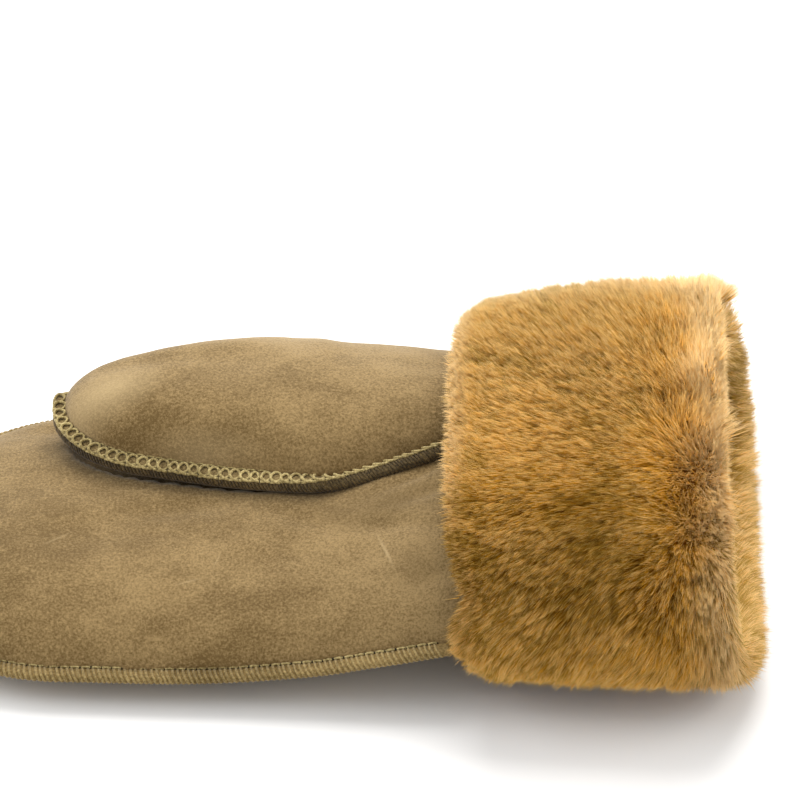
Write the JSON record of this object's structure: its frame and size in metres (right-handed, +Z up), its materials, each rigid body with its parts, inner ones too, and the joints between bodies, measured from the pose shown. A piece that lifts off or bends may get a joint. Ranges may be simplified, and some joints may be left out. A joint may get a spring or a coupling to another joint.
{
  "type": "sheepskin mitten",
  "caption": "Right-hand mitten of suede-faced sheepskin, lying palm up with its thumb across the palm, with raised overlocked seams and a deep turned-over fur cuff.",
  "frame": {"origin": "middle of the footprint's box, on the floor that the mitten lies on", "axes": "+X along the hand from the fingertips to the cuff's mouth, +Y towards the thumb side, +Z up out of the palm"},
  "size_m": [0.259, 0.1636, 0.0607],
  "materials": {
    "suede": "olive-tan suede nap, softly mottled",
    "thread": "khaki overlock thread over pressed suede edges",
    "fur": "dense golden-brown sheepskin pile, darker at the roots",
    "fleece": "short golden fleece"
  },
  "bodies": {
    "root": {"back_panel": "suede", "palm_panel": "suede", "thumb_inner_panel": "suede", "edge_seam": "thread", "thumb_seam": "thread", "cuff_backing": "suede", "cuff_fur": "fur", "fleece_lining": "fleece"}
  },
  "joints": []
}
